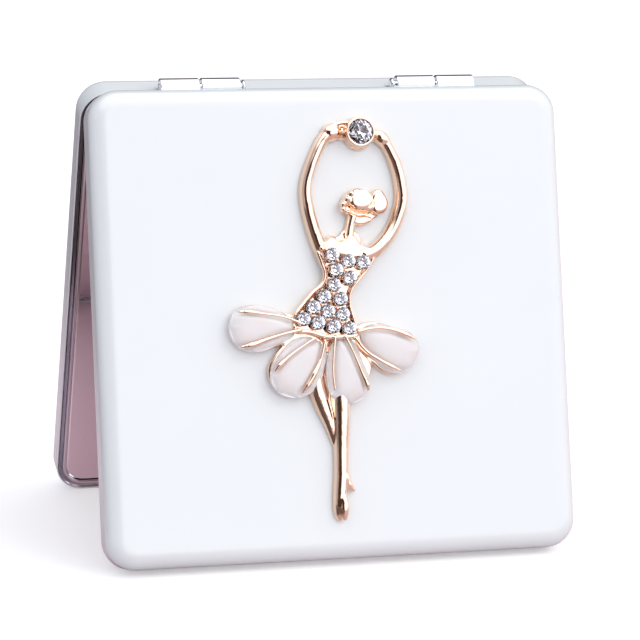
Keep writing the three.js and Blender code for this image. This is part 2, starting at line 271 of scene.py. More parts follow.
def rod(radius, start, end, sides=48):
    """A cylinder along X between two places on the hinge axis."""
    bpy.ops.mesh.primitive_cylinder_add(
        vertices=sides, radius=radius, depth=end - start,
        location=((start + end) / 2, 0, 0), rotation=(0, math.pi / 2, 0))
    apply_transform()
    return bpy.context.object


def rounded_block(low, high, corner):
    """A block whose four edges through its thickness are rounded."""
    obj = block(low, high)
    edit(obj, "EDGE")
    pick_edges(obj, lambda a, b: abs((b - a).normalized().y) > 0.9)
    bevel(corner, CORNER_STEPS)
    leave_edit()
    return obj


def round_ends(obj, width, steps):
    """Rounds the rims at both ends of a rod."""
    edit(obj, "EDGE")
    pick_edges(obj, lambda a, b: abs(a.x - b.x) < 0.001)
    bevel(width, steps)
    leave_edit()


def smooth(obj, degrees=35):
    focus(obj)
    bpy.ops.object.shade_smooth_by_angle(angle=math.radians(degrees))


def even_shading(obj):
    """Smooth shading that leaves the broad flat faces truly flat."""
    smooth(obj)
    apply_modifier(obj, "WEIGHTED_NORMAL", keep_sharp=True)


def settle(obj, name, place, body, finishes, stands_for):
    """Puts a finished piece in its place in metres, gives it its finishes and ties it to the frame."""
    focus(obj)
    obj.matrix_world = place @ Matrix.Scale(MM, 4)
    apply_transform()
    obj.name = name
    obj.data.name = name
    obj.data.materials.clear()
    for finish in finishes:
        obj.data.materials.append(finish_named(finish))
    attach(obj, body)
    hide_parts(stands_for)
    return obj


# ---- shader node groups -------------------------------------------------------------------------
def link(tree, source, target):
    tree.links.new(source, target)


def add_node(tree, kind, **values):
    """Adds a shader node. A value whose key is one of the node's options sets it, and any other sets a socket."""
    node = tree.nodes.new("ShaderNode" + kind)
    for key, value in values.items():
        if hasattr(node, key):
            setattr(node, key, value)
        else:
            node.inputs[key.replace("_", " ")].default_value = value
    return node


def ramp(tree, source, low, high):
    """Spreads a value between low and high over the whole range from 0 to 1."""
    node = add_node(tree, "MapRange", From_Min=low, From_Max=high)
    link(tree, source, node.inputs["Value"])
    return node.outputs["Result"]


def calculate(tree, operation, *values):
    node = add_node(tree, "Math", operation=operation)
    for socket, value in zip(node.inputs, values):
        if isinstance(value, (int, float)):
            socket.default_value = value
        else:
            link(tree, value, socket)
    return node.outputs[0]


def noise_at(tree, vector, scale, **values):
    node = add_node(tree, "TexNoise", **values)
    link(tree, vector, node.inputs["Vector"])
    link(tree, scale, node.inputs["Scale"])
    return node.outputs["Fac"]


def new_group(name, inputs, outputs):
    """A shader node group with a vector, named float inputs with their defaults, and float outputs."""
    group = bpy.data.node_groups.new(name, "ShaderNodeTree")
    group.interface.new_socket("Vector", in_out="INPUT", socket_type="NodeSocketVector")
    for label, value in inputs.items():
        socket = group.interface.new_socket(label, in_out="INPUT", socket_type="NodeSocketFloat")
        socket.default_value = value
    for label in outputs:
        group.interface.new_socket(label, in_out="OUTPUT", socket_type="NodeSocketFloat")
    return group, group.nodes.new("NodeGroupInput").outputs, group.nodes.new("NodeGroupOutput").inputs


def make_haze_group():
    """Soft patches of finger haze, and fine specks of dust."""
    group, given, result = new_group(
        "Finger Haze", {"Patch Scale": 60, "Speck Scale": 900, "Speck Amount": 0.5}, ["Haze", "Specks"])
    patch = noise_at(group, given["Vector"], given["Patch Scale"], Detail=4, Roughness=0.6, Distortion=0.4)
    speck = noise_at(group, given["Vector"], given["Speck Scale"], Detail=2)
    link(group, ramp(group, patch, 0.42, 0.72), result["Haze"])
    link(group, calculate(group, "MULTIPLY", ramp(group, speck, 0.66, 0.78), given["Speck Amount"]),
         result["Specks"])


def make_hairline_group():
    """Hairline scratches in two directions, as a height."""
    group, given, result = new_group("Hairlines", {"Scale": 500, "Stretch": 0.03}, ["Height"])
    heights = []
    for angle in (0.5, -0.9):
        squeeze = add_node(group, "CombineXYZ", X=1, Z=1)
        link(group, given["Stretch"], squeeze.inputs["Y"])
        turn = add_node(group, "Mapping", Rotation=(0.3, angle, angle))
        link(group, given["Vector"], turn.inputs["Vector"])
        link(group, squeeze.outputs["Vector"], turn.inputs["Scale"])
        lines = noise_at(group, turn.outputs["Vector"], given["Scale"], Detail=3, Roughness=0.7)
        heights.append(ramp(group, lines, 0.6, 0.8))
    link(group, calculate(group, "MAXIMUM", *heights), result["Height"])


def make_ripple_group():
    """A slow ripple over a fine peel, as a height, and the ripple alone for a drift in colour."""
    group, given, result = new_group(
        "Ripple", {"Ripple Scale": 90, "Peel Scale": 700, "Peel Share": 0.25}, ["Height", "Drift"])
    slow = noise_at(group, given["Vector"], given["Ripple Scale"], Detail=3, Roughness=0.5)
    fine = noise_at(group, given["Vector"], given["Peel Scale"], Detail=3, Roughness=0.5)
    share = calculate(group, "MULTIPLY", fine, given["Peel Share"])
    link(group, calculate(group, "ADD", slow, share), result["Height"])
    link(group, ramp(group, slow, 0.3, 0.7), result["Drift"])


# ---- materials ----------------------------------------------------------------------------------
def new_material(name, **sockets):
    """A material whose Principled shader has these plain values, and its Object coordinates."""
    material = bpy.data.materials.new(name)
    material.use_nodes = True
    tree = material.node_tree
    shader = tree.nodes["Principled BSDF"]
    for key, value in sockets.items():
        shader.inputs[key.replace("_", " ")].default_value = value
    return tree, shader, add_node(tree, "TexCoord").outputs["Object"]


def use_group(tree, name, vector, **values):
    node = add_node(tree, "Group", node_tree=bpy.data.node_groups[name])
    link(tree, vector, node.inputs["Vector"])
    for key, value in values.items():
        node.inputs[key.replace("_", " ")].default_value = value
    return node.outputs


def blend(tree, mask, *colours):
    """Goes from the first colour to the second as the mask goes from 0 to 1. A colour may be a socket."""
    mix = add_node(tree, "Mix", data_type="RGBA")
    link(tree, mask, mix.inputs[0])
    for socket, colour in zip((mix.inputs[6], mix.inputs[7]), colours):
        if isinstance(colour, bpy.types.NodeSocket):
            link(tree, colour, socket)
        else:
            socket.default_value = (*colour, 1)
    return mix.outputs[2]


def vary_colour(tree, shader, mask, base, other):
    link(tree, blend(tree, mask, base, other), shader.inputs["Base Color"])


def vary_roughness(tree, shader, mask, low, high):
    node = add_node(tree, "MapRange", To_Min=low, To_Max=high)
    link(tree, mask, node.inputs["Value"])
    link(tree, node.outputs["Result"], shader.inputs["Roughness"])


def add_bump(tree, shader, height, depth):
    """A bump whose full height is depth millimetres."""
    bump = add_node(tree, "Bump", Strength=1.0, Distance=depth * MM)
    link(tree, height, bump.inputs["Height"])
    link(tree, bump.outputs["Normal"], shader.inputs["Normal"])


def tinted(colour, *factors):
    return tuple(min(1.0, channel * factor) for channel, factor in zip(colour, factors))


def make_lacquer():
    colour = bpy.context.scene.mirror_case.lacquer
    tree, shader, place = new_material("White Lacquer", Coat_Weight=0.5, Coat_Roughness=0.06)
    ripple = use_group(tree, "Ripple", place, Ripple_Scale=55, Peel_Scale=520, Peel_Share=0.3)
    haze = use_group(tree, "Finger Haze", place, Patch_Scale=45)
    vary_colour(tree, shader, ripple["Drift"], colour, tinted(colour, 0.985, 0.985, 0.995))
    vary_roughness(tree, shader, haze["Haze"], 0.24, 0.27)
    add_bump(tree, shader, ripple["Height"], 0.02)


def make_chrome():
    colour = bpy.context.scene.mirror_case.chrome
    tree, shader, place = new_material("Bright Plate", Metallic=1.0)
    haze = use_group(tree, "Finger Haze", place, Patch_Scale=120)
    lines = use_group(tree, "Hairlines", place, Scale=900, Stretch=0.04)
    vary_colour(tree, shader, haze["Haze"], colour, tinted(colour, 0.93, 0.93, 0.94))
    vary_roughness(tree, shader, haze["Haze"], 0.06, 0.16)
    add_bump(tree, shader, lines["Height"], 0.004)


def make_mirror_glass():
    tree, shader, place = new_material("Silvered Glass", Metallic=1.0)
    haze = use_group(tree, "Finger Haze", place, Patch_Scale=38, Speck_Scale=1400, Speck_Amount=0.7)
    # the glass's pale pink is a painted tint that pinks its reflection of the shaded table; the darker specks are
    # dust
    vary_colour(tree, shader, haze["Specks"], (0.99, 0.94, 0.95), (0.88, 0.84, 0.85))
    vary_roughness(tree, shader, haze["Haze"], 0.004, 0.03)


def make_gold():
    colour = bpy.context.scene.mirror_figure.gold
    tree, shader, place = new_material("Rose Gold Plate", Metallic=1.0)
    ripple = use_group(tree, "Ripple", place, Ripple_Scale=420, Peel_Scale=2600, Peel_Share=0.15)
    haze = use_group(tree, "Finger Haze", place, Patch_Scale=160)
    vary_colour(tree, shader, ripple["Drift"], colour, tinted(colour, 1.03, 0.97, 0.93))
    vary_roughness(tree, shader, haze["Haze"], 0.07, 0.14)
    add_bump(tree, shader, ripple["Height"], 0.02)


def make_petal():
    colour = bpy.context.scene.mirror_figure.petal
    tree, shader, place = new_material(
        "Milky Petal", Subsurface_Weight=0.35, Subsurface_Scale=1.2 * MM, Coat_Weight=0.25,
        Coat_Roughness=0.15)
    shader.inputs["Subsurface Radius"].default_value = (1.0, 0.65, 0.6)
    ripple = use_group(tree, "Ripple", place, Ripple_Scale=260, Peel_Scale=3000, Peel_Share=0.2)
    haze = use_group(tree, "Finger Haze", place, Patch_Scale=200)
    vary_colour(tree, shader, ripple["Drift"], colour, tinted(colour, 1.02, 0.97, 0.97))
    vary_roughness(tree, shader, haze["Haze"], 0.32, 0.46)
    add_bump(tree, shader, ripple["Height"], 0.02)


def make_stone_glass():
    tree, shader, place = new_material("Cut Stone", Transmission_Weight=1.0, IOR=1.56)
    haze = use_group(tree, "Finger Haze", place, Patch_Scale=700)
    vary_colour(tree, shader, haze["Haze"], (0.985, 0.985, 0.995), (0.95, 0.95, 0.975))
    vary_roughness(tree, shader, haze["Haze"], 0.0, 0.02)


def make_foil():
    tree, shader, place = new_material("Stone Foil", Metallic=1.0)
    haze = use_group(tree, "Finger Haze", place, Patch_Scale=900)
    vary_colour(tree, shader, haze["Haze"], (0.97, 0.97, 0.99), (0.84, 0.85, 0.89))
    vary_roughness(tree, shader, haze["Haze"], 0.04, 0.12)


def make_foam():
    tree, shader, place = new_material("Foam Tape", Specular_IOR_Level=0.2)
    cells = add_node(tree, "TexVoronoi", Scale=2600)
    link(tree, place, cells.inputs["Vector"])
    depth = cells.outputs["Distance"]
    vary_colour(tree, shader, depth, (0.05, 0.05, 0.055), (0.02, 0.02, 0.022))
    vary_roughness(tree, shader, depth, 0.8, 0.98)
    add_bump(tree, shader, depth, 0.08)


def make_magnet():
    tree, shader, place = new_material("Nickel Disc", Metallic=1.0)
    haze = use_group(tree, "Finger Haze", place, Patch_Scale=300)
    lines = use_group(tree, "Hairlines", place, Scale=1200, Stretch=0.1)
    vary_colour(tree, shader, haze["Haze"], (0.62, 0.61, 0.58), (0.5, 0.49, 0.47))
    vary_roughness(tree, shader, haze["Haze"], 0.25, 0.42)
    add_bump(tree, shader, lines["Height"], 0.006)


# Painted reflections that metal sees in the table in place of its own colour: dark at the left, warm at the front
# right, and a rosy painted shade under and behind the mirror, where the floor lies in the halves' shadow.
DARK_PAINTED_REFLECTION = (0.10, 0.06, 0.05)
WARM_PAINTED_REFLECTION = (0.62, 0.47, 0.48)
ROSY_PAINTED_SHADE_REFLECTION = (1.0, 0.72, 0.79)
TABLE_LIFT = 0.35  # extra brightness that only the camera sees


def make_table():
    """A pale table. The light that it throws back has a darker colour of its own, which is painted shade, and its
    reflection in metal is painted.
    """
    stage = bpy.context.scene.mirror_stage
    tree, shader, place = new_material(
        "Painted Table", Specular_IOR_Level=0.3, Emission_Color=(1, 1, 1, 1))
    ripple = use_group(tree, "Ripple", place, Ripple_Scale=7, Peel_Scale=300, Peel_Share=0.2)
    way = add_node(tree, "SeparateXYZ")
    link(tree, place, way.inputs[0])
    path = add_node(tree, "LightPath").outputs
    # painted reflection for metal: dark at the left, warm at the right, and rosy painted shade of the floor under
    # the mirror
    front = blend(tree, ramp(tree, way.outputs["X"], -0.025, 0.0), DARK_PAINTED_REFLECTION, WARM_PAINTED_REFLECTION)
    under = calculate(tree, "MULTIPLY", ramp(tree, way.outputs["Y"], -0.025, -0.015),
                      ramp(tree, way.outputs["X"], -0.06, -0.04))
    metal = blend(tree, under, front, ROSY_PAINTED_SHADE_REFLECTION)
    # diffuse light thrown back takes table_glow, a darker painted shade; glossy rays see the painted reflection
    thrown = blend(tree, path["Is Glossy Ray"], stage.table_glow, metal)
    vary_colour(tree, shader, path["Is Camera Ray"], thrown, stage.table)
    lift = calculate(tree, "MULTIPLY", path["Is Camera Ray"], TABLE_LIFT)
    link(tree, lift, shader.inputs["Emission Strength"])
    vary_roughness(tree, shader, ripple["Drift"], 0.45, 0.6)
    add_bump(tree, shader, ripple["Height"], 0.03)


MATERIAL_MAKERS = {
    "White Lacquer": make_lacquer,
    "Bright Plate": make_chrome,
    "Silvered Glass": make_mirror_glass,
    "Rose Gold Plate": make_gold,
    "Milky Petal": make_petal,
    "Cut Stone": make_stone_glass,
    "Stone Foil": make_foil,
    "Foam Tape": make_foam,
    "Nickel Disc": make_magnet,
    "Painted Table": make_table,
}


def finish_named(name):
    """The material of that name, which is made the first time that it is asked for."""
    if name not in bpy.data.materials:
        MATERIAL_MAKERS[name]()
    return bpy.data.materials[name]


# ---- the case -----------------------------------------------------------------------------------
CORNER_STEPS = 12
BARREL_RADIUS = tray_high.z - 0.06
BORE_RADIUS = 0.56
SWING_ROOM = 0.3
KNUCKLES = {"rear": (11.0, 16.35), "front": (16.65, 22.0)}
HINGE_CUT = (9.9, 22.3)
# A cover's cuts round the hinges start outside the parting plane and end past the cover's top edge.
CUT_FRONT, CUT_END = -1, 2
CUT_OVERLAP = 0.05  # how far they run past the wall
EDGE_STEPS = 10
FLAT_MARGIN = 0.3  # width of the ring of faces round a cover's flat
POCKET_ROOM = 0.1  # between a tray's floor and the cover
COVER_RIM_ROUND = 0.08  # less than half of a cover's wall, or the rim has no flat left and can't be cut
TRAY_GAP = 0.08  # between a tray and the cover's wall
TRAY_FLOOR = 0.6
LEDGE = 0.6
LEDGE_DROP = 0.1  # ledge's outer edge below the parting plane
RIM_WIDTH = 0.42
BARREL_ROUND = 0.14
LEAF_REACH = 0.6  # how far a knuckle's leaf runs into the tray
LEAF_TOP = -0.1
LEAF_SHY = 0.05  # a leaf is shorter than its barrel at each end
LEAF_STEP = 0.03  # and this much below the barrel's front
MIRROR_GAP = 0.03
GLASS_LIFT = 0.15  # a mirror's face above its ground edge
PIN_RADIUS = 0.5
SHANK_SHY = 0.05  # a pin's shank is shorter than the pin at each end
PIN_HEAD_LENGTH = 0.5


def both_sides(start, end):
    return [(-end, -start), (start, end)]


def make_cover(side):
    """A shallow shell with softly rounded outer edges, cut out round the hinges."""
    case = bpy.context.scene.mirror_case
    obj = rounded_block(cover_low, cover_high, case.corner_radius)
    edit(obj, "EDGE")
    pick_edges(obj, lambda a, b: min(a.y, b.y) > cover_high.y - TOUCH)
    bevel(case.edge_round, EDGE_STEPS)
    pick_faces(obj, lambda middle, normal: normal.y > LEVEL)
    bpy.ops.mesh.inset(thickness=FLAT_MARGIN)
    pick_open_side(obj)
    bpy.ops.mesh.inset(thickness=case.wall)
    extrude(y=tray_high.y + POCKET_ROOM - cover_low.y)
    pick_open_side(obj, cover_low.y + TOUCH)
    bpy.ops.mesh.region_to_loop()
    bevel(COVER_RIM_ROUND, 3)
    leave_edit()

    cutters = [rod(BARREL_RADIUS + SWING_ROOM, *ends) for ends in both_sides(*HINGE_CUT)]
    for start, end in both_sides(*KNUCKLES[side]):
        low = (start - SWING_ROOM, CUT_FRONT, cover_high.z - case.wall - CUT_OVERLAP)
        cutters.append(block(low, (end + SWING_ROOM, BARREL_RADIUS + SWING_ROOM, CUT_END)))
    combine(obj, cutters, "DIFFERENCE")
    even_shading(obj)
    return obj


def make_tray(side):
    """The bright tray that holds a mirror: a ledge, a raised rim, a floor and two hinge knuckles."""
    case = bpy.context.scene.mirror_case
    inset = case.wall + TRAY_GAP
    low = Vector((cover_low.x + inset, cover_low.y + LEDGE_DROP, cover_low.z + inset))
    high = Vector((cover_high.x - inset, tray_high.y, cover_high.z - inset))
    obj = rounded_block(low, high, case.corner_radius - inset)
    edit(obj, "FACE")
    pick_open_side(obj)
    bpy.ops.mesh.inset(thickness=LEDGE)
    bpy.ops.transform.translate(value=(0, case.groove - LEDGE_DROP, 0))
    extrude(y=-case.groove)
    bpy.ops.mesh.inset(thickness=RIM_WIDTH)
    extrude(y=high.y - TRAY_FLOOR - cover_low.y)
    pick_open_side(obj, cover_low.y + TOUCH)
    bpy.ops.mesh.region_to_loop()
    bevel(case.rim_round, 5)
    leave_edit()

    for start, end in both_sides(*KNUCKLES[side]):
        barrel = rod(BARREL_RADIUS, start, end, 64)
        round_ends(barrel, BARREL_ROUND, 3)
        leaf_low = (start + LEAF_SHY, cover_low.y, cover_high.z - inset - LEAF_REACH)
        leaf = block(leaf_low, (end - LEAF_SHY, BARREL_RADIUS - LEAF_STEP, LEAF_TOP))
        combine(obj, [leaf, barrel], "UNION")
        combine(obj, [rod(BORE_RADIUS, start - 1, end + 1, 32)], "DIFFERENCE")
    even_shading(obj)
    return obj


def make_mirror_plate():
    """A mirror with a ground edge round its face."""
    case = bpy.context.scene.mirror_case
    inset = case.wall + TRAY_GAP + LEDGE + RIM_WIDTH + MIRROR_GAP
    low = Vector((cover_low.x + inset, mirror_low.y, cover_low.z + inset))
    high = Vector((cover_high.x - inset, mirror_high.y, cover_high.z - inset))
    obj = rounded_block(low, high, case.corner_radius - inset)
    edit(obj, "FACE")
    pick_open_side(obj)
    bpy.ops.mesh.inset(thickness=case.glass_bevel)
    bpy.ops.transform.translate(value=(0, -GLASS_LIFT, 0))
    leave_edit()
    smooth(obj, 4)
    return obj


def make_pin(side):
    """A hinge pin with a domed head at its inner end and a rounded tail."""
    low, high = own_box(f"hinge_pin_{side}", FRONT_TILT)
    head_end = (low.x, low.x + PIN_HEAD_LENGTH) if side == "right" else (high.x - PIN_HEAD_LENGTH, high.x)
    shank = rod(PIN_RADIUS, low.x + SHANK_SHY, high.x - SHANK_SHY, 32)
    head = rod(high.z, *head_end)
    round_ends(shank, 0.2, 4)
    round_ends(head, 0.3, 4)
    combine(shank, [head], "UNION")
    smooth(shank)
    return shank


# ---- the ballerina: tools for cast and moulded forms --------------------------------------------
def new_spline(points, closed, flat):
    """A smooth curve object through points (x, y) or (x, y, radius)."""
    curve = bpy.data.curves.new("Outline", "CURVE")
    curve.dimensions = "2D" if flat else "3D"
    spline = curve.splines.new("BEZIER")
    spline.bezier_points.add(len(points) - 1)
    spline.use_cyclic_u = closed
    for knot, point in zip(spline.bezier_points, points):
        knot.co = (point[0], point[1], 0)
        knot.handle_left_type = knot.handle_right_type = "AUTO"
        if not flat:
            knot.radius = point[2]
    obj = bpy.data.objects.new("Outline", curve)
    bpy.context.scene.collection.objects.link(obj)
    focus(obj)
    return obj, curve


def plate(outline, low, high, rounding):
    """A flat form with this outline, from low to high, with rounded edges."""
    obj, curve = new_spline(outline, closed=True, flat=True)
    curve.fill_mode = "BOTH"
    curve.resolution_u = 8
    curve.extrude = (high - low) / 2 - rounding
    curve.bevel_depth = rounding
    curve.bevel_resolution = 3
    curve.offset = -rounding
    obj.location.z = (low + high) / 2
    bpy.ops.object.convert(target="MESH")
    apply_transform()
    return bpy.context.object


def bar(points, rise=1.0, base=0.0):
    """A tapered bar through points (x, y, half width). Its section is an oval, rise times as high as wide."""
    obj, curve = new_spline(points, closed=False, flat=False)
    curve.bevel_depth = 1.0
    curve.bevel_resolution = 6
    curve.resolution_u = 8
    curve.use_fill_caps = True
    obj.scale.z = rise
    obj.location.z = base
    bpy.ops.object.convert(target="MESH")
    apply_transform()
    return bpy.context.object


def ball(x, y, z, rx, ry, rz, turn=0.0):
    bpy.ops.mesh.primitive_uv_sphere_add(
        segments=32, ring_count=20, radius=1, location=(x, y, z), rotation=(0, 0, turn), scale=(rx, ry, rz))
    apply_transform()
    return bpy.context.object


def cup(x, y, top, radius, foot_radius, rim):
    """A tapered cup round a stone: its rim's outer radius is radius, and it stands on the casting's back."""
    bpy.ops.mesh.primitive_cone_add(
        vertices=48, radius1=foot_radius, radius2=radius, depth=top - BACK + 0.3,
        location=(x, y, (top + BACK - 0.3) / 2))
    obj = bpy.context.object
    apply_transform()
    edit(obj, "FACE")
    pick_faces(obj, lambda middle, normal: normal.z > 0.99)
    bpy.ops.mesh.inset(thickness=rim)
    extrude(z=-0.8)
    leave_edit()
    return obj


def melt(parts, step, passes):
    """Casts the parts into one closed form with soft joins, and cuts its back flat."""
    obj = join(parts)
    apply_modifier(obj, "REMESH", mode="VOXEL", voxel_size=step)
    apply_modifier(obj, "SMOOTH", factor=0.5, iterations=passes)
    edit(obj, "VERT")
    bpy.ops.mesh.select_all(action="SELECT")
    bpy.ops.mesh.bisect(plane_co=(0, 0, BACK), plane_no=(0, 0, 1), use_fill=True, clear_inner=True)
    leave_edit()
    return obj


# ---- the ballerina: outlines and centre lines, in millimetres from the cover's middle ------------
CHEST = [(-3.0, 9.4), (-1.6, 10.8), (-0.7, 11.3), (0.2, 10.75), (1.1, 10.95), (1.7, 11.5), (2.4, 11.3),
         (3.1, 10.3), (4.3, 9.8), (6.2, 10.0), (5.4, 8.3), (2.4, 8.2), (-1.0, 9.0)]
SHOULDER = [(-1.6, 10.4), (-1.0, 11.5), (0.2, 11.4), (1.1, 12.2), (2.6, 12.1), (3.3, 10.2), (1.0, 9.6)]
BODICE = [(-2.9, 10.1), (-1.4, 10.2), (1.4, 9.4), (4.6, 8.9), (5.3, 8.4), (3.8, 6.9), (2.5, 5.7), (1.6, 4.4),
          (1.3, 2.6), (1.7, 0.6), (2.1, -1.5), (0.4, -2.2), (-2.6, -2.1), (-5.8, -1.3), (-6.5, 0.3),
          (-5.1, 2.2), (-3.7, 3.7), (-2.4, 5.2), (-2.1, 6.7), (-2.8, 8.4)]
HAIR = [(2.2, 17.5), (3.4, 17.75), (4.6, 16.9), (5.1, 15.8), (5.0, 14.7), (4.5, 14.45), (3.8, 14.6),
        (3.1, 14.6), (2.4, 14.95), (1.7, 15.5), (0.8, 15.3), (0.8, 16.0), (1.4, 16.9)]
FACE = [(1.7, 14.7), (2.3, 14.25), (3.1, 13.95), (3.9, 13.95), (4.7, 13.8), (5.0, 13.5), (4.3, 12.95),
        (3.5, 12.75), (2.6, 12.9), (1.9, 13.7)]
BUN = [(4.8, 15.6), (5.0, 16.9), (5.9, 17.6), (6.8, 16.9), (7.2, 15.3), (6.5, 14.3), (5.2, 14.4)]
HEAD_BASE = [(0.9, 15.6), (2.2, 17.2), (4.8, 16.8), (6.7, 16.6), (6.7, 14.8), (4.9, 13.4),
             (3.3, 13.0), (1.8, 14.0)]
CURLS = [(2.1, 17.0, 0.5), (1.5, 16.3, 0.46), (0.9, 15.6, 0.46), (0.9, 14.9, 0.42), (1.6, 14.5, 0.36)]
WAIST_RIM = [(-6.7, -0.3, 0.25), (-6.3, -1.0, 0.32), (-4.6, -1.3, 0.32), (-2.2, -2.0, 0.34),
             (0.0, -2.1, 0.34), (1.6, -2.0, 0.32), (2.4, -1.6, 0.25)]
LEFT_ARM = [(-1.9, 8.4, 0.8), (-2.5, 10.2, 1.05), (-3.3, 12.9, 1.0), (-3.9, 16.0, 0.95), (-3.9, 18.2, 0.9),
            (-3.3, 20.3, 0.88), (-2.5, 22.2, 0.86), (-1.6, 23.9, 0.86), (-0.8, 24.9, 0.9)]
LEFT_FINGERS = [(0.1, 26.3, 0.32), (1.2, 26.55, 0.3), (2.4, 26.6, 0.3)]
RIGHT_ARM = [(3.6, 8.6, 1.1), (5.6, 9.6, 1.05), (7.4, 11.5, 1.0), (8.6, 13.7, 0.98), (9.3, 16.2, 0.95),
             (9.2, 18.6, 0.92), (8.7, 20.9, 0.9), (8.2, 22.2, 0.84), (7.5, 23.6, 0.8)]
HAND_LINKS = [[(0.6, 25.4, 1.1), (2.2, 25.4, 1.1)], [(6.5, 24.7, 0.85), (5.2, 25.0, 0.9)]]
NECK = [(2.4, 14.2, 0.75), (2.0, 12.8, 0.68), (1.7, 11.4, 0.75), (1.5, 9.8, 0.4)]
BODICE_LEFT = [(-2.9, 9.4, 0.3), (-2.4, 7.9, 0.3), (-2.0, 6.4, 0.26), (-2.4, 5.1, 0.28), (-3.7, 4.0, 0.3),
               (-5.2, 2.4, 0.3), (-6.4, 0.9, 0.3), (-6.7, -0.2, 0.3)]
BODICE_RIGHT = [(5.0, 8.6, 0.3), (4.0, 7.0, 0.26), (2.6, 5.4, 0.26), (1.5, 4.0, 0.26), (1.2, 2.6, 0.24),
                (1.5, 0.9, 0.24), (2.1, -1.2, 0.26)]
STANDING_LEG = [(-0.3, -6.5, 1.5), (-0.4, -9.0, 1.45), (-0.45, -12.8, 1.32), (-0.6, -16.8, 1.08),
                (-0.75, -20.2, 1.02), (-0.95, -22.4, 1.02), (-1.15, -24.6, 0.95), (-1.2, -25.8, 0.75),
                (-1.1, -26.6, 0.35)]
HEEL = [(-0.4, -20.6, 0.85), (0.2, -21.9, 0.62), (0.95, -22.7, 0.28)]
CROSSED_LEG = [(-3.9, -7.2, 1.25), (-3.4, -9.6, 1.2), (-2.7, -11.8, 1.02), (-1.95, -13.9, 0.8),
               (-1.25, -17.0, 0.35)]
LEG_WEB = [(-4.0, -8.0), (0.0, -8.0), (-0.4, -14.0), (-1.6, -14.6), (-3.2, -11.5)]
# Rounded lumps: middle, half sizes, and for some a turn.
HAIR_DOME = (3.5, 16.2, 1.7, 1.5, 1.3, 0.22, 0.1)
LEFT_PALM = (-0.1, 25.3, 0.5, 1.4, 1.25, 1.35, 0.25)
RIGHT_PALM = (6.9, 24.4, 0.5, 1.5, 1.0, 1.25, -0.75)
STRAP_BEAD = (-2.3, 9.75, 1.75, 0.42, 0.42, 0.4)
SLIPPER = (-0.7, -24.7, 0.9, 0.7, 1.9, 0.9)
HAND_BOSS = (3.65, 24.85, 0.2, 2.0, 2.0, 0.9)
HAND_STONE = (3.65, 25.25)
BODICE_STONES = [(-1.05, 8.85), (1.15, 7.95), (3.2, 7.75), (-0.6, 6.85), (1.25, 5.75), (-1.0, 4.85),
                 (-2.45, 3.35), (-0.15, 2.95), (-3.95, 1.95), (-1.95, 1.35), (0.05, 0.9), (-5.4, 0.45),
                 (-3.4, -0.1),
                 (-1.3, -0.65), (0.85, -1.0)]

